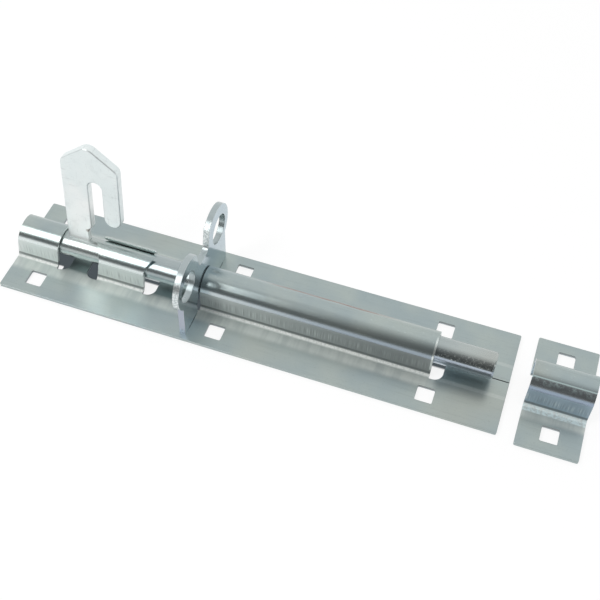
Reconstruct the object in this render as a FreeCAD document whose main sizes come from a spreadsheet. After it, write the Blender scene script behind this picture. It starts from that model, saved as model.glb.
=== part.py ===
import FreeCAD
import Part
import Sketcher
import math
import os

# Padbolt: a round bolt slides in three arches that are pressed up from one zinc-plated plate.
# A flat handle is welded to the bolt. It slides past the slotted middle arch when it stands up,
# and swings down over one ear of the padlock lug at either end of the travel.
# Frame: the origin is the centre of the plate's back, +X points to the keep, +Z away from the door.

os.makedirs("parts", exist_ok=True)
doc = FreeCAD.newDocument("padbolt")

# Driving dimensions in millimetres and degrees

SIZES = {
    "plate_length": 250.0,
    "plate_width": 58.0,
    "sheet": 1.5,
    "corner": 0.8,
    "hole_side": 8.3,
    "hole_corner": 0.7,
    "hole_row": 39.4,
    "hole_left": -109.7,
    "hole_middle": -14.85,
    "hole_right": 89.3,
    "bolt_radius": 6.5,
    "bolt_height": 11.25,
    "bolt_left": -121.0,
    "bolt_right": 116.6,
    "bolt_chamfer": 0.8,
    "guide_clearance": 0.4,
    "foot_bend": 2.0,
    "end_guide_right": -103.2,
    "end_lean_left": 2.4,
    "end_lean_right": 2.1,
    "hook_left": -81.6,
    "hook_right": -56.8,
    "hook_waist_left": 1.4,
    "hook_waist_right": 0.9,
    "hook_tip_left": 4.4,
    "hook_tip_right": 5.2,
    "hook_tip_radius": 7.2,
    "barrel_left": -26.6,
    "barrel_right": 88.7,
    "relief_end": 5.5,
    "relief_hook_left": 6.7,
    "relief_hook_right": 5.5,
    "relief_lug": 6.0,
    "relief_barrel": 5.9,
    "relief_corner": 4.4,
    "seam": 0.5,
    "handle_angle": 84.0,
    "handle_left": -98.9,
    "handle_right": -69.9,
    "handle_apex": -85.0,
    "handle_peak": 65.1,
    "handle_shoulder": 54.5,
    "handle_thick": 4.5,
    "handle_edge": 0.7,
    "apex_round": 5.0,
    "shoulder_round": 4.0,
    "fork_left": -85.7,
    "fork_width": 7.2,
    "fork_top": 45.0,
    "prong_end": 20.0,
    "root_thick": 3.0,
    "root_right": -87.8,
    "root_top": 13.6,
    "root_seat_gap": 0.1,
    "root_gap_front": 0.3,
    "root_gap_rear": 1.3,
    "lug_thick": 3.0,
    "lug_centre": -28.6,
    "lug_hole_radius": 7.8,
    "lug_hole_out": 19.1,
    "lug_hole_height": 28.1,
    "lobe_radius": 13.3,
    "lobe_out": 17.5,
    "lobe_height": 29.15,
    "saddle_height": 27.6,
    "saddle_half": 6.1,
    "saddle_corner": 3.0,
    "lug_arch_gap": 1.0,
    "lug_foot_inner": 11.2,
    "lug_foot_outer": 26.3,
    "tab_inner": 12.5,
    "tab_outer": 22.0,
    "tab_gap": 0.1,
    "keep_width": 29.4,
    "keep_span": 62.3,
    "keep_gap": 8.3,
    "keep_hole_out": 21.6,
    "keep_clearance": 0.6,
}

sheet = doc.addObject("Spreadsheet::Sheet", "Sizes")
for row, (name, value) in enumerate(SIZES.items(), start=1):
    sheet.set(f"A{row}", name)
    sheet.set(f"B{row}", str(value))
    sheet.setAlias(f"B{row}", name)
doc.recompute()

# Sizes that follow from the driving ones, kept as cells so that sketches can be bound to them

DERIVED = {
    "guide_inner": "bolt_radius + guide_clearance",
    "guide_outer": "guide_inner + sheet",
    "foot_out": "guide_outer + foot_bend",
    "foot_centre": "sheet + foot_bend",
    "leg_low": "sheet + foot_bend / 2",
    "arch_top": "bolt_height + guide_outer + sheet / 2",
    "hook_waist_x": "hook_left + hook_waist_left",
    "hook_waist_end": "hook_right + hook_waist_right",
    "keep_inner": "bolt_radius + keep_clearance",
    "keep_outer": "keep_inner + sheet",
    "keep_foot_out": "keep_outer + foot_bend",
    "root_front": "root_thick / 2",
    "root_seat": "bolt_radius + root_seat_gap",
    "lug_arch": "bolt_radius + lug_arch_gap",
    "fork_right": "fork_left + fork_width",
    "fork_radius": "fork_width / 2",
    "fork_centre": "fork_left + fork_width / 2",
    "prong_radius": "(handle_right - fork_right) / 2",
    "keep_centre": "plate_length / 2 + keep_gap + keep_width / 2",
    "gable_rise": "handle_peak - handle_shoulder",
    "gable_left": "sqrt(gable_rise ^ 2 + (handle_apex - handle_left) ^ 2)",
    "gable_right": "sqrt(gable_rise ^ 2 + (handle_right - handle_apex) ^ 2)",
    "gable_left_up": "gable_rise / gable_left",
    "gable_left_out": "(handle_apex - handle_left) / gable_left",
    "gable_right_up": "gable_rise / gable_right",
    "gable_right_out": "(handle_right - handle_apex) / gable_right",
}
for row, (name, formula) in enumerate(DERIVED.items(), start=len(SIZES) + 1):
    sheet.set(f"A{row}", name)
    sheet.set(f"B{row}", "=" + formula)
    sheet.setAlias(f"B{row}", name)
doc.recompute()


def size(formula):
    """The value of a formula written with the sheet's names."""
    return float(sheet.evalExpression(formula))


def bound(formula):
    """The same formula as another object of the document writes it."""
    words = []
    word = ""
    for letter in formula + " ":
        if letter.isalnum() or letter in "_.":
            word += letter
            continue
        known = word in SIZES or word in DERIVED
        words.append("Sizes." + word if known else word)
        words.append(letter)
        word = ""
    return "".join(words).strip()


# Sketches: every corner and radius is tied to the sheet

def origin_plane(body, role):
    for feature in body.Origin.OriginFeatures:
        if feature.Role == role:
            return feature
    raise ValueError(role)


def new_body(label):
    body = doc.addObject("PartDesign::Body", label)
    body.Label = label
    return body


def sketch_on(body, role, name, offset=None):
    sketch = body.newObject("Sketcher::SketchObject", name)
    sketch.AttachmentSupport = (origin_plane(body, role), "")
    sketch.MapMode = "FlatFace"
    if offset:
        sketch.setExpression("AttachmentOffset.Base.z", bound(offset))
    return sketch


def tie(sketch, kind, place, formula):
    """Add one dimension to a sketch and bind it to the sheet."""
    constraint = Sketcher.Constraint(kind, *place, size(formula))
    index = sketch.addConstraint(constraint)
    sketch.setExpression(f"Constraints[{index}]", bound(formula))


def tie_point(sketch, geometry, end, across, up):
    tie(sketch, "DistanceX", (-1, 1, geometry, end), across)
    tie(sketch, "DistanceY", (-1, 1, geometry, end), up)


def arc_between(start, end, radius, turn):
    """The shorter arc from start to end; turn is 1 for anticlockwise and -1 for clockwise."""
    chord = end - start
    normal = FreeCAD.Vector(-chord.y, chord.x, 0).normalize()
    rise = math.sqrt(max(radius ** 2 - (chord.Length / 2) ** 2, 0))
    centre = (start + end) * 0.5 + normal * rise * turn
    crown = centre - normal * radius * turn
    if turn > 0:
        return Part.Arc(start, crown, end)
    return Part.Arc(end, crown, start)


def draw_loop(sketch, steps):
    """A closed outline. A step is (across, up), reached by a line, or (across, up, radius, turn)."""
    points = [FreeCAD.Vector(size(step[0]), size(step[1]), 0) for step in steps]
    pieces = []
    for number, step in enumerate(steps):
        start = points[number - 1]
        end = points[number]
        if len(step) == 2:
            index = sketch.addGeometry(Part.LineSegment(start, end), False)
            pieces.append((index, 1, 2))
            continue
        radius, turn = step[2:]
        index = sketch.addGeometry(arc_between(start, end, size(radius), turn), False)
        tie(sketch, "Radius", (index,), radius)
        pieces.append((index, 1, 2) if turn > 0 else (index, 2, 1))
    for number, step in enumerate(steps):
        index, first, last = pieces[number]
        following, next_first, next_last = pieces[(number + 1) % len(steps)]
        sketch.addConstraint(Sketcher.Constraint("Coincident", index, last, following, next_first))
        tie_point(sketch, index, last, step[0], step[1])


def draw_rounded(sketch, left, right, front, rear, radius):
    """A rectangle with its four corners rounded."""
    draw_loop(sketch, [
        (f"{left} + {radius}", front, radius, 1),
        (f"{right} - {radius}", front),
        (right, f"{front} + {radius}", radius, 1),
        (right, f"{rear} - {radius}"),
        (f"{right} - {radius}", rear, radius, 1),
        (f"{left} + {radius}", rear),
        (left, f"{rear} - {radius}", radius, 1),
        (left, f"{front} + {radius}"),
    ])


def draw_box(sketch, left, right, front, rear):
    draw_loop(sketch, [(right, front), (right, rear), (left, rear), (left, front)])


def draw_circle(sketch, across, up, radius):
    circle = Part.Circle(FreeCAD.Vector(size(across), size(up), 0), FreeCAD.Vector(0, 0, 1), size(radius))
    index = sketch.addGeometry(circle, False)
    tie_point(sketch, index, 3, across, up)
    tie(sketch, "Radius", (index,), radius)


def draw_square_hole(sketch, across, up):
    """A square punched hole that keeps a coach bolt from turning."""
    half = "hole_side / 2"
    draw_rounded(sketch, f"{across} - {half}", f"{across} + {half}",
                 f"{up} - {half}", f"{up} + {half}", "hole_corner")


# Features: a cut that removes nothing, or an addition that adds nothing, stops the script

def volume_of(body):
    return 0.0 if body.Shape.isNull() else body.Shape.Volume


def pad(body, sketch, name, length, both_ways=False):
    before = volume_of(body)
    feature = body.newObject("PartDesign::Pad", name)
    feature.Profile = sketch
    feature.setExpression("Length", bound(length))
    if both_ways:
        feature.SideType = "Symmetric"
    doc.recompute()
    if volume_of(body) <= before:
        raise ValueError(name + " adds nothing")
    return feature


def pocket(body, sketch, name, length, both_ways=True, reversed_way=False):
    before = volume_of(body)
    feature = body.newObject("PartDesign::Pocket", name)
    feature.Profile = sketch
    feature.setExpression("Length", bound(length))
    feature.Reversed = reversed_way
    if both_ways:
        feature.SideType = "Symmetric"
    doc.recompute()
    if volume_of(body) >= before:
        raise ValueError(name + " cuts nothing")
    return feature


# The pressed arch, seen along the bolt: feet that roll up out of the sheet, upright legs, round top

def draw_arch(sketch, inner, outer, foot_out):
    draw_loop(sketch, [
        (f"-{foot_out}", "0"),
        (f"-{inner}", "foot_centre", "foot_bend + sheet", 1),
        (f"-{inner}", "bolt_height"),
        ("0", f"bolt_height + {inner}", inner, -1),
        (inner, "bolt_height", inner, -1),
        (inner, "foot_centre"),
        (foot_out, "0", "foot_bend + sheet", 1),
        (foot_out, "sheet"),
        (outer, "foot_centre", "foot_bend", -1),
        (outer, "bolt_height"),
        ("0", f"bolt_height + {outer}", outer, 1),
        (f"-{outer}", "bolt_height", outer, 1),
        (f"-{outer}", "foot_centre"),
        (f"-{foot_out}", "sheet", "foot_bend", -1),
    ])


def draw_arch_top(sketch, inner, outer):
    """The part of the arch above the rolled feet."""
    draw_loop(sketch, [
        (f"-{inner}", "foot_centre"),
        (f"-{inner}", "bolt_height"),
        ("0", f"bolt_height + {inner}", inner, -1),
        (inner, "bolt_height", inner, -1),
        (inner, "foot_centre"),
        (outer, "foot_centre"),
        (outer, "bolt_height"),
        ("0", f"bolt_height + {outer}", outer, 1),
        (f"-{outer}", "bolt_height", outer, 1),
        (f"-{outer}", "foot_centre"),
    ])


# Base plate: blank, openings under the arches, seams, square holes, slots for the lug, arches

def make_base_plate():
    body = new_body("base_plate")
    half_length = "plate_length / 2"
    half_width = "plate_width / 2"

    blank = sketch_on(body, "XY_Plane", "plate_outline")
    draw_rounded(blank, f"-{half_length}", half_length, f"-{half_width}", half_width, "corner")
    pad(body, blank, "plate_sheet", "sheet")

    openings = sketch_on(body, "XY_Plane", "arch_openings")
    draw_rounded(openings, f"-{half_length} - 2 * relief_corner", "end_guide_right + relief_end",
                 "-foot_out", "foot_out", "relief_corner")
    draw_rounded(openings, "hook_left - relief_hook_left", "hook_right + relief_hook_right",
                 "-foot_out", "foot_out", "relief_corner")
    draw_rounded(openings, "barrel_left - relief_lug", "barrel_right + relief_barrel",
                 "-foot_out", "foot_out", "relief_corner")
    pocket(body, openings, "arch_openings_cut", "4 * sheet")

    seams = sketch_on(body, "XY_Plane", "closed_seams")
    draw_box(seams, "end_guide_right + relief_end - sheet", "hook_left - relief_hook_left + sheet",
             "-seam / 2", "seam / 2")
    draw_box(seams, "hook_right + relief_hook_right - sheet", "barrel_left - relief_lug + sheet",
             "-seam / 2", "seam / 2")
    draw_box(seams, "barrel_right + relief_barrel - sheet", f"{half_length} + sheet",
             "-seam / 2", "seam / 2")
    pocket(body, seams, "closed_seams_cut", "4 * sheet")

    holes = sketch_on(body, "XY_Plane", "bolt_holes")
    for column in ("hole_left", "hole_middle", "hole_right"):
        for side in ("-hole_row / 2", "hole_row / 2"):
            draw_square_hole(holes, column, side)
    pocket(body, holes, "bolt_holes_cut", "4 * sheet")

    slots = sketch_on(body, "XY_Plane", "lug_slots")
    reach = "(lug_thick / 2 + tab_gap)"
    for near, far in (("tab_inner - tab_gap", "tab_outer + tab_gap"),
                      ("-tab_outer - tab_gap", "-tab_inner + tab_gap")):
        draw_box(slots, f"lug_centre - {reach}", f"lug_centre + {reach}", near, far)
    pocket(body, slots, "lug_slots_cut", "4 * sheet")

    # Each arch stands on its rolled feet; the tops of the two guides reach further than their feet
    feet = (
        ("end_guide", f"-{half_length}", f"end_guide_right + {half_length}"),
        ("hook_guide", "hook_left", "hook_right - hook_left"),
        ("barrel", "barrel_left", "barrel_right - barrel_left"),
    )
    for name, start, length in feet:
        section = sketch_on(body, "YZ_Plane", name + "_section", start)
        draw_arch(section, "guide_inner", "guide_outer", "foot_out")
        pad(body, section, name, length)
    hook_first = "hook_waist_x - hook_tip_left"
    hook_last = "hook_waist_end + hook_tip_right"
    tops = (
        ("end_guide_top", f"-{half_length}", f"end_guide_right + end_lean_right + {half_length}"),
        ("hook_guide_top", hook_first, f"{hook_last} - ({hook_first})"),
    )
    for name, start, length in tops:
        section = sketch_on(body, "YZ_Plane", name + "_section", start)
        draw_arch_top(section, "guide_inner", "guide_outer")
        pad(body, section, name, length)

    # Both ends of the end guide lean towards the keep
    lean = sketch_on(body, "XZ_Plane", "end_guide_ends")
    draw_loop(lean, [
        (f"-{half_length}", "leg_low"),
        (f"-{half_length} + end_lean_left", "arch_top"),
        (f"-{half_length} - sheet", "arch_top"),
        (f"-{half_length} - sheet", "leg_low"),
    ])
    draw_loop(lean, [
        ("end_guide_right", "leg_low"),
        ("end_guide_right + end_lean_right + sheet", "leg_low"),
        ("end_guide_right + end_lean_right + sheet", "arch_top"),
        ("end_guide_right + end_lean_right", "arch_top"),
    ])
    pocket(body, lean, "end_guide_ends_cut", "2 * foot_out")

    # The tips of the two hooks sweep outwards above the bolt's axis
    tips = sketch_on(body, "XZ_Plane", "hook_tips")
    draw_loop(tips, [
        ("hook_left", "leg_low"),
        ("hook_waist_x", "bolt_height"),
        (hook_first, "arch_top", "hook_tip_radius", 1),
        (f"{hook_first} - sheet", "arch_top"),
        (f"{hook_first} - sheet", "leg_low"),
    ])
    draw_loop(tips, [
        ("hook_right", "leg_low"),
        (f"{hook_last} + sheet", "leg_low"),
        (f"{hook_last} + sheet", "arch_top"),
        (hook_last, "arch_top"),
        ("hook_waist_end", "bolt_height", "hook_tip_radius", 1),
    ])
    pocket(body, tips, "hook_tips_cut", "2 * foot_out")

    # The slot that lets the handle's root through lies in the plane of the raised handle
    slot = sketch_on(body, "YZ_Plane", "hook_slot", "(hook_left + hook_right) / 2")
    along = ("cos(handle_angle * 1deg)", "sin(handle_angle * 1deg)")
    rear = "(root_front + root_gap_rear)"
    front = "(root_front + root_gap_front)"
    deep = "(guide_inner / 2)"
    high = "(guide_outer * 1.4)"

    def slot_corner(offset, reach):
        across = f"{reach} * {along[0]} + {offset} * {along[1]}"
        up = f"bolt_height + {reach} * {along[1]} - {offset} * {along[0]}"
        return (across, up)

    draw_loop(slot, [
        slot_corner(rear, deep),
        slot_corner(rear, high),
        slot_corner(f"(0 - {front})", high),
        slot_corner(f"(0 - {front})", deep),
    ])
    pocket(body, slot, "hook_slot_cut", "2 * (hook_right - hook_left)")
    return body


# Bolt: one round bar with chamfered ends

def make_bolt():
    body = new_body("bolt_rod")
    section = sketch_on(body, "YZ_Plane", "bolt_section", "bolt_left")
    draw_circle(section, "0", "bolt_height", "bolt_radius")
    bar = pad(body, section, "bolt_bar", "bolt_right - bolt_left")
    ends = [f"Edge{number}" for number, edge in enumerate(bar.Shape.Edges, start=1) if edge.isClosed()]
    chamfer = body.newObject("PartDesign::Chamfer", "bolt_ends")
    chamfer.Base = (bar, ends)
    chamfer.setExpression("Size", bound("bolt_chamfer"))
    doc.recompute()
    return body


# Handle: a forked flat plate. Its local XZ plane holds the bolt's axis, and its root is centred on it.
# The root is thinner than the plate, flush with its front face.

def make_handle():
    body = new_body("handle")
    profile = sketch_on(body, "XZ_Plane", "handle_outline", "root_front - handle_thick / 2")
    tip = "(apex_round * (gable_left_up + gable_right_up) / (gable_left_out + gable_right_out))"
    left = "(shoulder_round * (1 - gable_left_up) / gable_left_out)"
    right = "(shoulder_round * (1 - gable_right_up) / gable_right_out)"
    draw_loop(profile, [
        ("handle_left", f"handle_shoulder - {left}"),
        (f"handle_left + {left} * gable_left_out", f"handle_shoulder + {left} * gable_left_up",
         "shoulder_round", -1),
        (f"handle_apex - {tip} * gable_left_out", f"handle_peak - {tip} * gable_left_up"),
        (f"handle_apex + {tip} * gable_right_out", f"handle_peak - {tip} * gable_right_up",
         "apex_round", -1),
        (f"handle_right - {right} * gable_right_out", f"handle_shoulder + {right} * gable_right_up"),
        ("handle_right", f"handle_shoulder - {right}", "shoulder_round", -1),
        ("handle_right", "prong_end + prong_radius"),
        ("(handle_right + fork_right) / 2", "prong_end", "prong_radius", -1),
        ("fork_right", "prong_end + prong_radius", "prong_radius", -1),
        ("fork_right", "fork_top - fork_radius"),
        ("fork_centre", "fork_top", "fork_radius", 1),
        ("fork_left", "fork_top - fork_radius", "fork_radius", 1),
        ("fork_left", "root_top + fork_left - root_right"),
        ("root_right", "root_top"),
        ("root_right", "bolt_radius / 2"),
        ("handle_left", "bolt_radius / 2"),
    ])
    plate = pad(body, profile, "handle_plate", "handle_thick", both_ways=True)

    rim = []
    for number, edge in enumerate(plate.Shape.Edges, start=1):
        box = edge.BoundBox
        if box.YLength < 1e-6 and box.ZMax > size("root_top") + 0.5:
            rim.append(f"Edge{number}")
    rounding = body.newObject("PartDesign::Fillet", "handle_rim")
    rounding.Base = (plate, rim)
    rounding.setExpression("Radius", bound("handle_edge"))
    doc.recompute()

    thinning = sketch_on(body, "YZ_Plane", "root_thinning", "handle_left")
    draw_box(thinning, "root_front", "root_front + handle_thick", "0", "root_top")
    pocket(body, thinning, "root_thinning_cut", "4 * (root_right - handle_left)")

    seat = sketch_on(body, "YZ_Plane", "root_seat", "handle_left")
    draw_circle(seat, "0", "0", "root_seat")
    pocket(body, seat, "root_seat_cut", "4 * (root_right - handle_left)")

    height = FreeCAD.Vector(0, 0, size("bolt_height"))
    lean = FreeCAD.Rotation(FreeCAD.Vector(1, 0, 0), size("handle_angle") - 90)
    body.Placement = FreeCAD.Placement(height, lean)
    return body


# Padlock lug: two eared plate astride the bolt, tabs riveted into the base plate

def make_lug():
    body = new_body("padlock_lug")
    profile = sketch_on(body, "YZ_Plane", "lug_outline", "lug_centre")
    shoulder = "(lobe_height + sheet - sqrt(lobe_radius ^ 2 - (lug_foot_outer - lobe_out) ^ 2))"
    flank_out = "(saddle_half + 1.6)"
    flank_up = f"(lobe_height + sheet + sqrt(lobe_radius ^ 2 - (lobe_out - {flank_out}) ^ 2))"
    saddle = "(saddle_height + sheet)"
    corner = "saddle_corner"
    waist = "(lug_foot_inner - lug_arch)"
    half = [
        ("0", saddle),
        (f"saddle_half - {corner}", saddle),
        ("saddle_half", f"{saddle} + {corner}", corner, 1),
        (flank_out, flank_up),
        ("lobe_out", "lobe_height + sheet + lobe_radius", "lobe_radius", -1),
        ("lobe_out + lobe_radius", "lobe_height + sheet", "lobe_radius", -1),
        ("lug_foot_outer", shoulder, "lobe_radius", -1),
        ("lug_foot_outer", "sheet"),
        ("tab_outer", "sheet"),
        ("tab_outer", "0"),
        ("tab_inner", "0"),
        ("tab_inner", "sheet"),
        ("lug_foot_inner", "sheet"),
        ("lug_foot_inner", f"bolt_height - {waist}"),
        ("lug_arch", "bolt_height"),
        ("0", "bolt_height + lug_arch", "lug_arch", 1),
    ]
    mirrored = []
    for number in range(len(half) - 1, 0, -1):
        across, up = half[number - 1][:2]
        radius = half[number][2:]
        mirrored.append((f"-({across})", up) + radius)
    draw_loop(profile, half[1:] + mirrored[:-1] + [("0", saddle)])
    for side in ("lug_hole_out", "-lug_hole_out"):
        draw_circle(profile, side, "lug_hole_height + sheet", "lug_hole_radius")
    pad(body, profile, "lug_plate", "lug_thick", both_ways=True)
    return body


# Keep: a short arch with a flange on each side, mounted in line with the bolt

def make_keep():
    body = new_body("keep")
    section = sketch_on(body, "YZ_Plane", "keep_section", "keep_centre - keep_width / 2")
    half_span = "keep_span / 2"
    right_side = [
        ("keep_inner", "bolt_height", "keep_inner", -1),
        ("keep_inner", "foot_centre"),
        ("keep_foot_out", "0", "foot_bend + sheet", 1),
        (half_span, "0"),
        (half_span, "sheet"),
        ("keep_foot_out", "sheet"),
        ("keep_outer", "foot_centre", "foot_bend", -1),
        ("keep_outer", "bolt_height"),
        ("0", "bolt_height + keep_outer", "keep_outer", 1),
    ]
    left_side = [
        ("-keep_outer", "bolt_height", "keep_outer", 1),
        ("-keep_outer", "foot_centre"),
        ("-keep_foot_out", "sheet", "foot_bend", -1),
        (f"-{half_span}", "sheet"),
        (f"-{half_span}", "0"),
        ("-keep_foot_out", "0"),
        ("-keep_inner", "foot_centre", "foot_bend + sheet", 1),
        ("-keep_inner", "bolt_height"),
        ("0", "bolt_height + keep_inner", "keep_inner", -1),
    ]
    draw_loop(section, right_side + left_side)
    strip = pad(body, section, "keep_strip", "keep_width")

    corners = []
    for number, edge in enumerate(strip.Shape.Edges, start=1):
        box = edge.BoundBox
        upright = abs(box.ZLength - size("sheet")) < 1e-6 and box.YLength < 1e-6
        if upright and abs(box.XLength) < 1e-6:
            corners.append(f"Edge{number}")
    rounding = body.newObject("PartDesign::Fillet", "keep_corners")
    rounding.Base = (strip, corners)
    rounding.setExpression("Radius", bound("corner"))
    doc.recompute()

    holes = sketch_on(body, "XY_Plane", "keep_holes")
    for side in ("-keep_hole_out", "keep_hole_out"):
        draw_square_hole(holes, "keep_centre", side)
    pocket(body, holes, "keep_holes_cut", "4 * sheet")
    return body


base_plate = make_base_plate()
bolt = make_bolt()
handle = make_handle()
lug = make_lug()
keep = make_keep()
doc.recompute()

for item in doc.Objects:
    if "Invalid" in item.State or "Error" in item.State:
        raise ValueError(f"{item.Name} failed: {item.State}")
for body in (base_plate, bolt, handle, lug, keep):
    shape = body.Shape
    if shape.isNull() or not shape.isValid() or len(shape.Solids) != 1:
        raise ValueError(f"{body.Label} is not one valid solid: {len(shape.Solids)}")
    print(body.Label, round(shape.Volume, 1), "mm3", shape.BoundBox)
    shape.exportStep(f"parts/{body.Label}.step")
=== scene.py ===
# %% [markdown]
# A padbolt in bright zinc plate
#
# The real padbolt is five pieces of steel: a pressed base plate with three arches, a round bolt, a
# forked handle welded to it, an eared padlock lug and a separate keep. All were plated with zinc in
# one bath, so they share one finish that differs only by how each piece was made: rolled sheet,
# drawn bar or punched plate. The shapes come ready from the packed frame. This lesson adds what
# the plating and the pressing left on them.

# %% Load the frame
import bpy
import bmesh
import math
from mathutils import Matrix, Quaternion, Vector


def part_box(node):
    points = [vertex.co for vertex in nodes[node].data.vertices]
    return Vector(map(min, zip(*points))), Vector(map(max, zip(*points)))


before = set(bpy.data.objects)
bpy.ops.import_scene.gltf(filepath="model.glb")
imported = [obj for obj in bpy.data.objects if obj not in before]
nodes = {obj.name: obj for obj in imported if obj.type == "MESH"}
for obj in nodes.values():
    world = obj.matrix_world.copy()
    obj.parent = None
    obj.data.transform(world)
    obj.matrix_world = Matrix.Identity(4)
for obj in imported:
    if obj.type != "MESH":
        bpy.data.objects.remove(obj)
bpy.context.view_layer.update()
print("nodes:", sorted(nodes))

# %% [markdown]
# Sizes
#
# The bolt's axis and the arches' radius are read from the boxes of the nodes, so the marks that
# follow them stay in place if a size changes. A mark at one place along the bolt is written in
# millimetres from the middle of the plate. Everything is in metres: X runs to the right towards
# the keep, Y to the rear edge of the plate, and Z up from the plate's back, so the thickness of the
# sheet is also the height of its face.

# %% Places that the finishes follow
MM = 0.001
FOOT_ROLL = 2.0 * MM
bolt_low, bolt_high = (Vector(corner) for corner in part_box("bolt_rod"))
plate_top = Vector(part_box("base_plate")[1]).z
axis_height = (bolt_low.z + bolt_high.z) / 2
sheet = 1.5 * MM
arch_radius = plate_top - axis_height
arch_foot = arch_radius + FOOT_ROLL
print("axis height", round(axis_height / MM, 2), "mm")
print("arch radius", round(arch_radius / MM, 2), "mm, foot", round(arch_foot / MM, 2), "mm out")

# %% [markdown]
# Writing shader maths as sums
#
# A finish is mostly arithmetic: a streak is a stretched noise, a band is a distance to a line.
# Wiring that by hand hides the idea, so one small class wraps a socket and lets Python's own
# operators add the Math nodes. One method adds every other kind of node. Colours are mixed with a
# Mix node, because Math would turn them grey.

# %% The socket class
class Wire:
    """A shader socket that can be added, subtracted and multiplied like a number."""

    def __init__(self, tree, socket):
        self.tree = tree
        self.socket = socket

    def node(self, kind, settings=None, out=0, **sockets):
        """Add a node of any kind. Its settings come first, then the values or links of its
        sockets by name, or by number as i0, i1 and so on where several share a name."""
        made = self.tree.nodes.new("ShaderNode" + kind)
        for name, value in (settings or {}).items():
            setattr(made, name, value)
        for name, value in sockets.items():
            numbered = name[0] == "i" and name[1:].isdigit()
            target = made.inputs[int(name[1:]) if numbered else name.replace("_", " ")]
            if isinstance(value, Wire):
                self.tree.links.new(value.socket, target)
            else:
                target.default_value = value
        return Wire(self.tree, made.outputs[out])

    def maths(self, operation, other=0.0):
        return self.node("Math", {"operation": operation}, i0=self, i1=other)

    def __add__(self, other):
        return self.maths("ADD", other)

    def __mul__(self, other):
        return self.maths("MULTIPLY", other)

    def __sub__(self, other):
        return self.maths("SUBTRACT", other)

    def __rsub__(self, other):
        return (self * -1.0) + other

    __radd__ = __add__
    __rmul__ = __mul__

    def size(self):
        """The distance from zero, to either side."""
        return self.maths("ABSOLUTE")

    def capped(self):
        """Nothing above 1, for masks that were added up."""
        return self.maths("MINIMUM", 1.0)

    def ramp(self, low, high):
        """0 below low, 1 above high and a smooth step between."""
        settings = {"interpolation_type": "SMOOTHSTEP"}
        return self.node("MapRange", settings, Value=self, From_Min=low, From_Max=high)

    def fade(self, low, high):
        """1 below low, 0 above high and a smooth step between."""
        return 1 - self.ramp(low, high)

    def between(self, low, high, soft):
        """1 from low to high, with both ends softened by soft to either side."""
        return self.ramp(low - soft, low + soft) * self.fade(high - soft, high + soft)

    def mix(self, first, second):
        """Blend two colours with this wire as the factor. A Mix node keeps its colour inputs
        at 6 and 7 and its colour output at 2."""
        settings = {"data_type": "RGBA", "clamp_factor": True}
        return self.node("Mix", settings, out=2, i0=self, i6=first, i7=second)

    def noise(self, scale, detail=3.0, roughness=0.55):
        return self.node("TexNoise", Vector=self, Scale=scale, Detail=detail, Roughness=roughness)


print("a Wire knows", ", ".join(name for name in vars(Wire) if name[0] != "_"))

# %% [markdown]
# Starting a material
#
# Every pattern here is read from Object coordinates. Each node's object sits at the origin, so they
# are simply the place on the piece in metres, and a pattern keeps its real size and rides with the
# piece when it moves. A noise's scale counts its grains in a metre, so 1000 gives grains of about
# a millimetre. It is drawn out into streaks by scaling the three directions by different factors
# before it is read, and then its own scale stays 1.

# %% Helpers for materials
def start_material(name):
    """A new material with its shader and a wire of Object coordinates."""
    material = bpy.data.materials.new(name)
    material.use_nodes = True
    tree = material.node_tree
    coordinates = tree.nodes.new("ShaderNodeTexCoord")
    return material, tree.nodes["Principled BSDF"], Wire(tree, coordinates.outputs["Object"])


def stretched(point, right, rear, up):
    """Coordinates scaled by one factor for each direction, which draws a noise into streaks."""
    return point.node("Mapping", {"vector_type": "POINT"}, Vector=point, Scale=(right, rear, up))


def parts_of(point):
    """How far right, rear and up a point lies or a normal faces, as separate wires."""
    split = point.node("SeparateXYZ", Vector=point).socket.node
    return [Wire(point.tree, output) for output in split.outputs]


def plug(wire, node, name):
    wire.tree.links.new(wire.socket, node.inputs[name])


# %% [markdown]
# Bright zinc
#
# Bright zinc is a metal mirror that is slightly clouded. It is bluish grey, and where the bath ran
# thin it has a faint warm tinge. Under a loupe it is covered with short rolling lines and dark
# specks. The base colour holds the clouding, the roughness holds the streaks, and a bump holds the
# specks and the dents of the press. Every piece starts from the same function, with the direction
# of its grain and its own brightness.

# %% The plating that all pieces share
def zinc(name, grain, colours, roughness, edge_light=0.5):
    """Zinc with its grain drawn out in one direction. Returns the wires that a finish adds to."""
    material, shader, point = start_material(name)
    cloud = point.noise(30.0)
    patch = point.noise(13.0, detail=2.0)
    lines = stretched(point, *grain).noise(1.0, roughness=0.6)
    specks = point.noise(1700.0, detail=2.0).ramp(0.62, 0.74)

    colour = cloud.ramp(0.35, 0.70).mix(colours["blue"], colours["pale"])
    colour = (patch.ramp(0.55, 0.75) * 0.5).mix(colour, colours["warm"])
    colour = (lines.ramp(0.50, 0.85) * 0.16 + specks * 0.22).mix(colour, colours["dark"])
    return {
        "material": material,
        "shader": shader,
        "point": point,
        "normal": point.node("NewGeometry", out="Normal"),
        "colour": colour,
        "dark": colours["dark"],
        "rough": lines * 0.10 + cloud * 0.06 + (roughness - 0.08),
        "height": lines * 0.25 + specks * -0.5,
        "edge_light": edge_light,
    }


def paint(made, mask, colour, share=None):
    """Lay a colour, or only a share of it, over a finish where the mask is 1."""
    factor = mask if share is None else mask * share
    made["colour"] = factor.mix(made["colour"], colour)


# %% [markdown]
# Closing a finish
#
# A punched or sheared edge is never sharp: the plating rounds it and handling polishes it, so it
# catches a thin light line. The solids have sharp edges, and a real bevel on each would cost many
# faces for a line half a pixel wide. A Bevel node gives the rounded normal instead, and how far it
# turns from the true one marks the edge.

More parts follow.
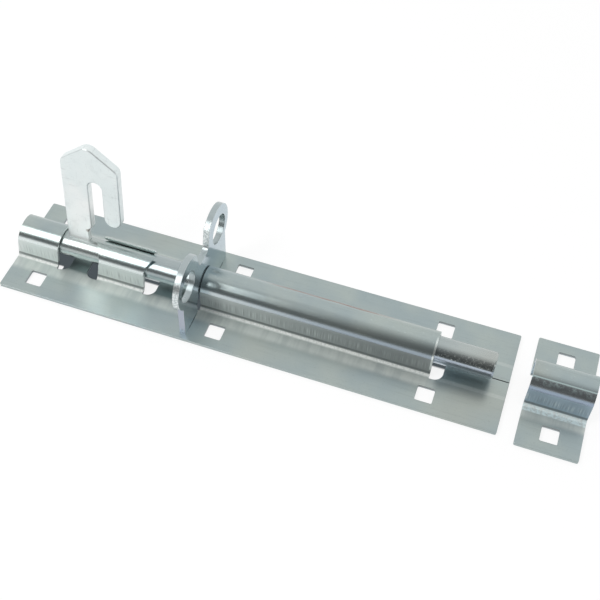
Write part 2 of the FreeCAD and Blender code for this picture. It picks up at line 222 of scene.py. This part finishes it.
# %% Join a finish to its shader
EDGE_ROUND = 0.28 * MM
EDGE_TURN = (0.01, 0.20)
EDGE_PALE = (0.80, 0.84, 0.84, 1)
BUMP_DEPTH = 0.05 * MM


def finish_zinc(made, bump_strength=0.12):
    """Rub the edges light, then plug every wire into the shader."""
    point, shader = made["point"], made["shader"]
    rounded = point.node("Bevel", {"samples": 6}, Radius=EDGE_ROUND)
    same = point.node("VectorMath", {"operation": "DOT_PRODUCT"}, out="Value",
                      i0=rounded, i1=made["normal"])
    paint(made, (1 - same).ramp(*EDGE_TURN), EDGE_PALE, share=made["edge_light"])
    bump = point.node("Bump", Strength=bump_strength, Distance=BUMP_DEPTH,
                      Height=made["height"], Normal=rounded)
    plug(made["colour"], shader, "Base Color")
    plug(made["rough"], shader, "Roughness")
    plug(made["metal"], shader, "Metallic")
    plug(bump, shader, "Normal")
    print(made["material"].name, "has", len(point.tree.nodes), "nodes")
    return made["material"]


# %% [markdown]
# Pressed sheet: the legs of the arches
#
# The plate was rolled, slit and pressed. Rolling leaves faint lines along it. Where the sheet was
# dragged down over the die's edge, the legs of the arches carry short upright scratches and are
# dull, almost painted, so the leg loses part of its metallic look. Above it runs a smoother line,
# tinted as a painted reflection of the floor, and below it a dark one over the foot. Left of a
# given place along the bolt, the flanks and that line are painted paler, a painted light. All of
# that follows the height and the distance from the bolt's axis, so no extra geometry is needed.

# %% Colours and places of the legs
SHEET_COLOURS = {
    "pale": (0.43, 0.49, 0.47, 1),
    "blue": (0.36, 0.43, 0.44, 1),
    "warm": (0.44, 0.46, 0.41, 1),
    "dark": (0.10, 0.12, 0.13, 1),
}
# Pale and dark for scratches, dust and torn lips, and also for the painted light and painted shade
# on the flanks
PALE_MARKS_AND_LIGHT = (0.90, 0.97, 0.94, 1)
DARK_MARKS_AND_SHADE = (0.20, 0.22, 0.22, 1)
LEG = (arch_radius - 2.2 * MM, arch_radius + 1.0 * MM)
FLANK = (sheet + 1.2 * MM, axis_height + 1.8 * MM)
FLANK_MIDDLE = (sheet + 4.0 * MM, axis_height - 1.5 * MM)
LINE_OVER = (axis_height + 0.6 * MM, axis_height + 4.0 * MM)
LINE_UNDER = (sheet + 1.3 * MM, sheet + 2.5 * MM)
print("legs are scratched from", [round(height / MM, 2) for height in FLANK], "mm high")


# %% Marks on the legs
def mark_legs(made, flank_colour, line_colour, lit_end):
    """Scratched flanks with a line over and under them. Left of a pair of places along the bolt,
    given as one argument, they are painted paler, a painted light."""
    right, rear, up = parts_of(made["point"])
    leg = rear.size().between(*LEG, 0.3 * MM)
    flank = up.between(*FLANK, 0.4 * MM) * leg
    middle = up.between(*FLANK_MIDDLE, 2.2 * MM) * flank
    over = up.between(*LINE_OVER, 0.8 * MM) * leg
    under = up.between(*LINE_UNDER, 0.3 * MM) * leg
    drag = stretched(made["point"], 1900.0, 40.0, 45.0).noise(1.0, roughness=0.65)
    # painted reflection: the line over the flank is tinted in the tone of the floor's reflection
    paint(made, over, line_colour)
    paint(made, flank, flank_colour)
    # painted light: towards the left, the flanks and the line over them are painted paler
    paint(made, (flank + over).capped() * right.fade(*lit_end), PALE_MARKS_AND_LIGHT, share=0.75)
    paint(made, middle * drag.ramp(0.46, 0.70), PALE_MARKS_AND_LIGHT, share=0.45)
    paint(made, middle * drag.fade(0.30, 0.50), DARK_MARKS_AND_SHADE, share=0.45)
    paint(made, under, DARK_MARKS_AND_SHADE, share=0.75)
    made["flank"] = flank
    made["rough"] = made["rough"] + flank * 0.26
    made["height"] = made["height"] + flank * drag * -0.7
    made["metal"] = 1.0 - flank * 0.45


# %% [markdown]
# Pressed sheet: the feet
#
# The inside bend at the foot of each arch was stretched until the zinc took on an orange-peel
# grain. Along the arch a thin bright line is painted in the bend, a painted highlight with that
# grain in it. In front of it the sheet was pinched by the die, which left soft streaks across the
# plate; they lie on a pale band that is a painted reflection. They end where the barrel ends.

# %% Marks at the feet
ROOT_PALE = (0.95, 0.98, 0.95, 1)
FOOT_PALE = (0.66, 0.71, 0.68, 1)
ROOT_HEIGHT = (sheet + 0.1 * MM, sheet + 1.0 * MM)
FOOT_BAND = (arch_foot - 1.0 * MM, arch_foot + 5.5 * MM)
FOOT_BAND_FADE = 6.0 * MM


def mark_feet(made, foot_end):
    """A painted highlight line in the bends, and streaks on a painted pale reflection in front of
    them that end at foot_end.
    """
    point = made["point"]
    right, rear, up = parts_of(point)
    out = rear.size()
    flat = up.fade(sheet + 0.2 * MM, sheet + 1.0 * MM)
    root = up.between(*ROOT_HEIGHT, 0.2 * MM) * out.between(arch_radius, arch_foot, 0.3 * MM)
    foot = out.between(*FOOT_BAND, 1.8 * MM) * flat * right.fade(foot_end, foot_end + FOOT_BAND_FADE)
    peel = point.noise(900.0, detail=2.0).ramp(0.30, 0.60)
    streaks = stretched(point, 260.0, 30.0, 60.0).noise(1.0).ramp(0.30, 0.66)
    # painted highlight: a bright line in the bend, broken by its grain
    paint(made, root * (peel * 0.4 + 0.6), ROOT_PALE)
    # painted reflection: a pale band in front of the arch, with the die's streaks in it
    paint(made, foot * (streaks * 0.45 + 0.5), FOOT_PALE)
    made["rough"] = made["rough"] + root * 0.12 + foot * 0.10 + flat * 0.09
    made["height"] = made["height"] + root * peel * 0.8
    made["metal"] = made["metal"] - root * 0.70 - foot * 0.45


print("streaks reach", round(FOOT_BAND[1] / MM, 2), "mm out from the bolt's axis")

# %% [markdown]
# Pressed sheet: the cut faces
#
# A punch shears half of a hole's wall and tears the rest, so the wall is dull grey with a dark lip.
# The ends of the arches were sheared clean and are bright. Both are found from the direction of the
# surface: a wall faces sideways, an end faces along the bolt. Dust in the plating shows as light
# specks on the round tops.

# %% Marks on the cut faces
SHEARED = (0.86, 0.92, 0.90, 1)
WALL_GREY = (0.46, 0.52, 0.54, 1)
HOLES_OUT = 27.0 * MM


def mark_cuts(made):
    """Grey walls with a dark lip in the holes, bright ends on the arches and dust on their tops."""
    _, rear, up = parts_of(made["point"])
    facing_right, _, facing_up = parts_of(made["normal"])
    inside = rear.size().fade(HOLES_OUT, HOLES_OUT + 0.6 * MM) * up.fade(sheet, sheet + 0.2 * MM)
    wall = facing_up.size().fade(0.3, 0.7) * inside
    lip = wall * up.ramp(sheet - 0.90 * MM, sheet - 0.60 * MM)
    end = facing_right.ramp(0.6, 0.9) * up.ramp(sheet + 3.0 * MM, sheet + 5.0 * MM)
    specks = made["point"].noise(1250.0, detail=2.0).ramp(0.68, 0.76)
    dust = specks * up.ramp(axis_height + 3.0 * MM, axis_height + 4.5 * MM)
    paint(made, wall, WALL_GREY)
    paint(made, lip, DARK_MARKS_AND_SHADE, share=0.85)
    paint(made, end, SHEARED)
    paint(made, dust, PALE_MARKS_AND_LIGHT, share=0.45)
    made["metal"] = made["metal"] - wall * 0.60


def sheet_finish(name, flank_colour, line_colour, lit_end, foot_end):
    """Rolled and pressed sheet: zinc, and then the marks of the legs, the feet and the cuts."""
    made = zinc(name, (45.0, 1400.0, 1400.0), SHEET_COLOURS, 0.25)
    mark_legs(made, flank_colour, line_colour, lit_end)
    mark_feet(made, foot_end)
    mark_cuts(made)
    return made


print("holes are looked for within", round(HOLES_OUT / MM, 1), "mm of the bolt's axis")

# %% [markdown]
# The base plate
#
# The plate is one sheet, so one material covers it. Its legs are painted paler towards the left
# end, a painted light from the lamp on that side, and darker towards the barrel's mouth, a painted
# shade, so the place along the bolt drives two of the masks.

# %% Zinc on the base plate
BARREL_MOUTH = 88.7 * MM
LIT_LEFT = (-85.0 * MM, 60.0 * MM)
SHADED_RIGHT = (20.0 * MM, 85.0 * MM)

made = sheet_finish(
    "zinc_plate_sheet",
    flank_colour=(0.38, 0.42, 0.42, 1),
    line_colour=(0.32, 0.38, 0.43, 1),
    lit_end=LIT_LEFT,
    foot_end=BARREL_MOUTH,
)
right, rear, up = parts_of(made["point"])
# painted shade: the plate's flanks are painted darker towards the barrel's mouth
paint(made, made["flank"] * right.ramp(*SHADED_RIGHT), DARK_MARKS_AND_SHADE, share=0.40)
print("the sheet's own finish has", len(made["point"].tree.nodes), "nodes")

# %% [markdown]
# The barrel's stain and mouth
#
# The plate has two marks of its own: a broken brown stain that the press left along the rear of the
# barrel's crest, and a barrel mouth rubbed bright by the bolt. The stain's edge is made wavy with a
# noise, because a straight band would look like tape.

# %% Stain and mouth
STAIN_BROWN = (0.23, 0.13, 0.10, 1)
STAIN_REAR = (4.3 * MM, 6.6 * MM)
STAIN_RIGHT = (6.0 * MM, 62.0 * MM)
STAIN_WAVE = 1.6 * MM
MOUTH_RIM = (BARREL_MOUTH - 0.9 * MM, BARREL_MOUTH + 0.1 * MM)

wavy = rear + (made["point"].noise(70.0) - 0.5) * STAIN_WAVE
crest = wavy.between(*STAIN_REAR, 0.4 * MM)
crest = crest * up.ramp(axis_height + 3.0 * MM, axis_height + 4.0 * MM)
broken = stretched(made["point"], 90.0, 700.0, 700.0).noise(1.0).ramp(0.36, 0.62)
stain = crest * right.between(*STAIN_RIGHT, 10.0 * MM) * (broken * 0.5 + 0.5)
mouth = right.between(*MOUTH_RIM, 0.15 * MM) * up.ramp(sheet + 3.0 * MM, sheet + 5.0 * MM)
mouth = mouth * rear.fade(-3.0 * MM, 2.0 * MM)
paint(made, stain, STAIN_BROWN, share=0.85)
paint(made, mouth, SHEARED, share=0.8)
plate_finish = finish_zinc(made)

# %% [markdown]
# The keep
#
# The keep came from another strip, so its legs are bluer. It lies beyond the places where the
# plate's legs are painted lit and where its streaks end, so those places are set far out to each
# side.

# %% Zinc on the keep
FAR_LEFT = (-300.0 * MM, -200.0 * MM)
FAR_RIGHT = 200.0 * MM

made = sheet_finish(
    "zinc_keep_sheet",
    flank_colour=(0.38, 0.49, 0.57, 1),
    line_colour=(0.31, 0.38, 0.47, 1),
    lit_end=FAR_LEFT,
    foot_end=FAR_RIGHT,
)
_, rear, up = parts_of(made["point"])
print("the keep's sheet has", len(made["point"].tree.nodes), "nodes")

# %% [markdown]
# The keep's top and feet
#
# Its round top shows a hard edge between a pale half and a dark half, a painted reflection of the
# dark side of the room with pale blotches, and a painted highlight line between them. It was bent
# in a wider die, which left a broad grainy band on its feet, painted bright as the highlight of the
# bend.
# Each is a band of height and distance from the axis, like the marks on the plate.

# %% The dark half, a painted reflection, and its painted highlight line
KEEP_SHADOW = (0.36, 0.39, 0.41, 1)
KEEP_GLINT = (0.80, 1.0, 1.0, 1)
SHADOW_REAR = (-8.3 * MM, -4.7 * MM)
GLINT_REAR = (-4.75 * MM, -4.25 * MM)

shadow = rear.between(*SHADOW_REAR, 0.15 * MM)
shadow = shadow * up.ramp(axis_height + 3.8 * MM, axis_height + 4.2 * MM)
glint = rear.between(*GLINT_REAR, 0.15 * MM)
glint = glint * up.ramp(axis_height + 1.5 * MM, axis_height + 3.0 * MM)
blotch = shadow * made["point"].noise(500.0, roughness=0.7).ramp(0.42, 0.66)
blotch = blotch * up.ramp(axis_height + 4.5 * MM, axis_height + 6.5 * MM)
# painted reflection: the dark half and its pale blotches, then a painted highlight along its edge
paint(made, shadow, KEEP_SHADOW, share=0.85)
paint(made, blotch, KEEP_GLINT, share=0.7)
paint(made, glint, KEEP_GLINT)
print("the dark half lies", [round(place / MM, 2) for place in SHADOW_REAR], "mm to the rear")

# %% The grainy band on its feet, painted bright
BEND_PALE = (0.84, 0.98, 1.0, 1)
BEND_OUT = (arch_radius, arch_foot + 1.8 * MM)

bend = rear.size().between(*BEND_OUT, 0.4 * MM) * up.fade(sheet + 0.8 * MM, sheet + 1.2 * MM)
peel = made["point"].noise(800.0, detail=2.0).ramp(0.34, 0.60)
# painted highlight: the band on the feet is painted bright, broken by its grain
paint(made, bend * (peel * 0.60 + 0.30), BEND_PALE)
made["metal"] = made["metal"] - bend * made["metal"] * 0.4
keep_finish = finish_zinc(made)

# %% [markdown]
# Drawn bar: the bolt
#
# The bar was drawn through a die and then slid in its guides, so fine lines run along it. Towards
# the keep its front carries a painted dark band, a painted reflection of the dark side of the room,
# with pale dust specks in it. Below it runs a light band painted as the floor's reflection, and the
# underside is painted paler and bluish, also a painted reflection, and is a little less like metal.
# These marks belong to the bar, so they move with it.

# %% Colours and places on the bolt
BAR_COLOURS = {
    "pale": (0.46, 0.51, 0.50, 1),
    "blue": (0.38, 0.44, 0.45, 1),
    "warm": (0.44, 0.45, 0.42, 1),
    "dark": (0.10, 0.12, 0.13, 1),
}
# Colours of the painted reflections on the bolt's front and underside
BAR_FLOOR_REFLECTION = (0.45, 0.52, 0.62, 1)
BAR_UNDER = (0.64, 0.76, 0.90, 1)
KEEP_END = (72.0 * MM, 82.0 * MM)
PAINTED_DARK_HEIGHT = (axis_height + 2.6 * MM, axis_height + 5.6 * MM)
FLOOR_REFLECTION_HEIGHT = (axis_height - 1.8 * MM, axis_height + 2.6 * MM)
print("the bolt is soiled from", round(KEEP_END[0] / MM, 1), "mm to its right end")

# %% Zinc on the bolt
made = zinc("zinc_bolt_bar", (20.0, 1000.0, 1000.0), BAR_COLOURS, 0.26)
right, rear, up = parts_of(made["point"])
keep_end = right.ramp(*KEEP_END)
front = rear.fade(-2.0 * MM, -1.0 * MM) * keep_end
painted_dark = up.between(*PAINTED_DARK_HEIGHT, 0.25 * MM) * front
depth = up.fade(axis_height + 2.6 * MM, axis_height + 5.4 * MM)
floor_reflection = up.between(*FLOOR_REFLECTION_HEIGHT, 0.25 * MM) * front
under = up.fade(axis_height - 3.0 * MM, axis_height - 1.6 * MM) * keep_end
pits = made["point"].noise(1000.0, roughness=0.65).ramp(0.54, 0.64)
# painted reflection: a dark band, darkest at its top, with pale dust specks left in it
paint(made, painted_dark * (1 - pits * 0.75) * (depth * 0.50 + 0.35), made["dark"])
paint(made, painted_dark * pits, PALE_MARKS_AND_LIGHT, share=0.35)
# painted reflection: a light band on the lower front, where the floor would show
paint(made, floor_reflection, BAR_FLOOR_REFLECTION, share=0.80)
# painted reflection: the underside is painted pale and bluish
paint(made, under, BAR_UNDER, share=0.80)
made["metal"] = 1.0 - under * 0.35
bolt_finish = finish_zinc(made, bump_strength=0.08)

# %% [markdown]
# Punched plate
#
# The handle and the lug were punched from thick plate and tumbled, so their faces are bright and
# lightly scratched in all directions. Two crossing sets of stretched noise give the scratches.

# %% Scratches of tumbled plate
EVEN_GRAIN = (260.0, 260.0, 260.0)


def punched_finish(name, colours, roughness):
    """Zinc on thick plate, with fine scratches that cross each other."""
    made = zinc(name, EVEN_GRAIN, colours, roughness, edge_light=0.8)
    point = made["point"]
    fine = stretched(point, 900.0, 120.0, 120.0).noise(1.0, detail=2.0).ramp(0.62, 0.70)
    cross = stretched(point, 90.0, 700.0, 700.0).noise(1.0, detail=2.0).ramp(0.64, 0.70)
    scratches = fine + cross
    paint(made, scratches, made["dark"], share=0.15)
    made["height"] = made["height"] + scratches * -0.4
    return made


# %% [markdown]
# The handle
#
# The handle is the brightest piece. It was welded to the bolt, and the heat left a small brown
# scorch at the step of its root. A noise breaks the scorch up, so that it has no outline.

# %% Zinc on the handle
HANDLE_COLOURS = {
    "pale": (0.94, 0.96, 0.95, 1),
    "blue": (0.80, 0.87, 0.87, 1),
    "warm": (0.90, 0.92, 0.89, 1),
    "dark": (0.35, 0.38, 0.39, 1),
}
SCORCH = (0.20, 0.14, 0.09, 1)
STEP_RIGHT = (-89.5 * MM, -87.5 * MM)
STEP_HEIGHT = (23.6 * MM, 25.6 * MM)

made = punched_finish("zinc_handle_plate", HANDLE_COLOURS, 0.36)
right, _, up = parts_of(made["point"])
step = right.ramp(*STEP_RIGHT) * up.between(*STEP_HEIGHT, 0.5 * MM)
burnt = made["point"].noise(420.0).ramp(0.40, 0.62) * step
paint(made, burnt, SCORCH, share=0.8)
made["metal"] = 0.75 - burnt * 0.5
handle_finish = finish_zinc(made)

# %% [markdown]
# The padlock lug
#
# The lug's face is nearly a mirror: the barrel's foot and the plate show in it. Its rim is greyer,
# and only the front of the ears' rim is grainy, where the punch tore the plate. The padlock holes
# are reamed smooth, so a mask round each hole keeps the grain out.

# %% Colours of the lug and the place of its holes
LUG_COLOURS = {
    "pale": (0.52, 0.61, 0.63, 1),
    "blue": (0.43, 0.53, 0.59, 1),
    "warm": (0.50, 0.54, 0.53, 1),
    "dark": (0.26, 0.32, 0.36, 1),
}
RIM_GREY = (0.42, 0.48, 0.49, 1)
RIM_LILAC = (0.40, 0.44, 0.51, 1)
TORN_PALE = (0.90, 0.95, 0.94, 1)
LUG_HOLE_OUT = 19.1 * MM
LUG_HOLE_HEIGHT = 29.6 * MM
LUG_HOLE_RADIUS = 7.8 * MM
HOLE_BORDER = LUG_HOLE_RADIUS + 0.6 * MM
EAR_FROM = (21.0 * MM, 25.0 * MM)
print("lug holes", round(LUG_HOLE_RADIUS / MM, 2), "mm in radius")

# %% Zinc on the lug
made = punched_finish("zinc_lug_plate", LUG_COLOURS, 0.15)
_, rear, up = parts_of(made["point"])
facing_right, facing_rear, _ = parts_of(made["normal"])
beside = rear.size() - LUG_HOLE_OUT
above = up - LUG_HOLE_HEIGHT
past_hole = (beside * beside + above * above).ramp(LUG_HOLE_RADIUS ** 2, HOLE_BORDER ** 2)
rim = facing_right.size().fade(0.4, 0.8)
outside = rim * past_hole
ear = up.ramp(*EAR_FROM)
torn = outside * facing_rear.fade(-0.85, -0.35) * ear
grain = made["point"].noise(1100.0, detail=2.0).ramp(0.35, 0.65)
paint(made, rim, RIM_GREY)
paint(made, outside * (1 - ear), RIM_LILAC)
paint(made, torn * (grain * 0.7 + 0.1), TORN_PALE)
made["rough"] = made["rough"] + rim * 0.14
made["height"] = made["height"] + torn * grain * 1.2
made["metal"] = 0.85 + rim * 0.05
lug_finish = finish_zinc(made, bump_strength=0.08)

# %% [markdown]
# Dressing the nodes
#
# The frame's nodes keep their shapes and their places, because nothing on this object needs more
# than a finish. Each only swaps the plain material in its slot for the one of its making.

# %% Give each node its finish
DRESS = {
    "base_plate": plate_finish,
    "keep": keep_finish,
    "bolt_rod": bolt_finish,
    "handle": handle_finish,
    "padlock_lug": lug_finish,
}
for name, finish in DRESS.items():
    for slot in nodes[name].material_slots:
        slot.material = finish
print("dressed", len(DRESS), "nodes")

# %% [markdown]
# The floor
#
# A plain pale floor lies just under the plate's back. It is one square from a bmesh grid, which
# needs no editor to run in, and it is so large that its edge stays out of the camera's picture.

# %% Make the floor
FLOOR_HALF = 6.0
FLOOR_DROP = 0.2 * MM
shape = bmesh.new()
bmesh.ops.create_grid(shape, x_segments=1, y_segments=1, size=FLOOR_HALF)
bmesh.ops.translate(shape, verts=shape.verts, vec=(0, 0, -FLOOR_DROP))
floor_mesh = bpy.data.meshes.new("floor")
shape.to_mesh(floor_mesh)
shape.free()
floor = bpy.data.objects.new("floor", floor_mesh)
bpy.context.collection.objects.link(floor)
print("floor faces:", len(floor_mesh.polygons))

# %% [markdown]
# The floor's white and its shade
#
# Seen directly or in the metal the floor is white, through Light Path, and it keeps part of the
# object's shadow. Under the bolt and the lug hardly any light gets in, and there the white would
# shine through the plate's openings, so the floor stays dark at those places. Each is a box on the
# floor with soft ends, so a loop makes them from one table.

# %% Shade under the bolt
# All in millimetres: the left end, the right end and how soft they are, and then the two
# distances from the bolt's axis between which the shade fades out.
SHADED = {
    "left opening": (-109.0, -100.0, 0.4, 6.4, 7.4),
    "hook guide": (-101.3, -82.0, 0.3, 10.2, 11.0),
    "padlock lug": (-34.0, -25.0, 0.4, 12.0, 13.0),
    "bolt": (-120.0, 125.0, 0.2, 1.2, 2.6),
}

floor_material, shader, point = start_material("pale_floor")
right, rear, _ = parts_of(point)
places = []
for left_end, right_end, soft, full, gone in SHADED.values():
    place = right.between(left_end * MM, right_end * MM, soft * MM)
    places.append(place * rear.size().fade(full * MM, gone * MM))
shade = sum(places).capped()
print("the floor is shaded at", ", ".join(SHADED))

# %% White where it is seen
FLOOR_PAINT = (0.90, 0.90, 0.90, 1)
FLOOR_WHITE = 1.06
FLOOR_SHADE = (0.075, 0.09, 0.10, 1)
WHITE_SHARE = 0.8

shader.inputs["Base Color"].default_value = FLOOR_PAINT
shader.inputs["Roughness"].default_value = 0.9
shader.inputs["Specular IOR Level"].default_value = 0.1
tree = point.tree
path = point.node("LightPath").socket.node
rays = ("Is Camera Ray", "Is Glossy Ray", "Is Transmission Ray")
seen = sum(Wire(tree, path.outputs[ray]) for ray in rays).capped()
white = point.node("Emission", Color=(1, 1, 1, 1), Strength=FLOOR_WHITE)
dim = point.node("Emission", Color=FLOOR_SHADE, Strength=1.0)
glow = point.node("MixShader", i0=shade, i1=white, i2=dim)
lit = Wire(tree, shader.outputs["BSDF"])
shown = seen * (WHITE_SHARE + shade * (1 - WHITE_SHARE))
surface = point.node("MixShader", i0=shown, i1=lit, i2=glow)
plug(surface, tree.nodes["Material Output"], "Surface")
floor_mesh.materials.append(floor_material)
print("floor material has", len(tree.nodes), "nodes")

# %% [markdown]
# The sky
#
# Metal has little colour of its own: it shows the room. Here the room is pale behind and above the
# plate and dark on the side where the camera stands, which draws the dark band along each round
# piece. The pale floor draws the thin light line under that band. One smooth ramp from south to
# north is enough.

# %% Pale behind, dark in front
SKY_DARK = 0.18
SKY_PALE = 0.96
SKY_TURN = (-0.85, 0.30)
BLACK = (0.0, 0.0, 0.0, 1)
WHITE = (1.0, 1.0, 1.0, 1)

world = bpy.data.worlds.new("studio")
bpy.context.scene.world = world
world.use_nodes = True
sky = world.node_tree
direction = Wire(sky, sky.nodes.new("ShaderNodeTexCoord").outputs["Generated"])
_, north, _ = parts_of(direction)
level = north.ramp(*SKY_TURN) * (SKY_PALE - SKY_DARK) + SKY_DARK
plug(level.mix(BLACK, WHITE), sky.nodes["Background"], "Color")
print("sky level from", SKY_DARK, "in front to", SKY_PALE, "behind")

# %% [markdown]
# The lamp
#
# One soft box hangs to the left. It is turned straight across the bolt, so its reflection is a
# clean band on the guides and the left end of the bolt, and it fades out on the barrel, where the
# mirror direction leaves the lamp.

# %% A soft box on the left
BOX_PLACE = Vector((-0.53, -0.533, 0.762))
BOX_TARGET = Vector((-0.53, 0, 0))
BOX_WIDTH = 0.46
BOX_DEPTH = 0.62
BOX_POWER = 4.2

light = bpy.data.lights.new("overhead_left", "AREA")
light.shape = "RECTANGLE"
light.size = BOX_WIDTH
light.size_y = BOX_DEPTH
light.energy = BOX_POWER
box = bpy.data.objects.new("overhead_left", light)
box.location = BOX_PLACE
box.rotation_euler = (BOX_TARGET - BOX_PLACE).to_track_quat("-Z", "Y").to_euler()
bpy.context.collection.objects.link(box)
print("lamp at", [round(value, 3) for value in box.location])

# %% [markdown]
# The camera
#
# The camera's place, aim, roll and lens were solved from the plate's corners and its square holes,
# so the plate lies in the picture as it does in the photograph. The aim is a track direction, and
# the roll turns it about its own axis.

# %% The photograph's camera
CAMERA_PLACE = Vector((107.9, -291.7, 405.8)) * MM
CAMERA_TARGET = Vector((17.3, 12.7, 1.5)) * MM
CAMERA_ROLL = math.radians(2.91)
SENSOR_WIDTH = 36.0
FOCAL_LENGTH = 62.68

lens = bpy.data.cameras.new("camera")
lens.sensor_width = SENSOR_WIDTH
lens.lens = FOCAL_LENGTH
camera = bpy.data.objects.new("camera", lens)
bpy.context.collection.objects.link(camera)
camera.location = CAMERA_PLACE
aim = (CAMERA_TARGET - CAMERA_PLACE).to_track_quat("-Z", "Y")
camera.rotation_mode = "QUATERNION"
camera.rotation_quaternion = aim @ Quaternion((0, 0, 1), CAMERA_ROLL)
bpy.context.scene.camera = camera
bpy.context.scene.view_settings.view_transform = "Standard"
print("camera stands", round((CAMERA_TARGET - CAMERA_PLACE).length, 3), "m from its target")

# %% [markdown]
# The dressed part may not be larger than the solids.

# Closing

# %% Close
print("done")
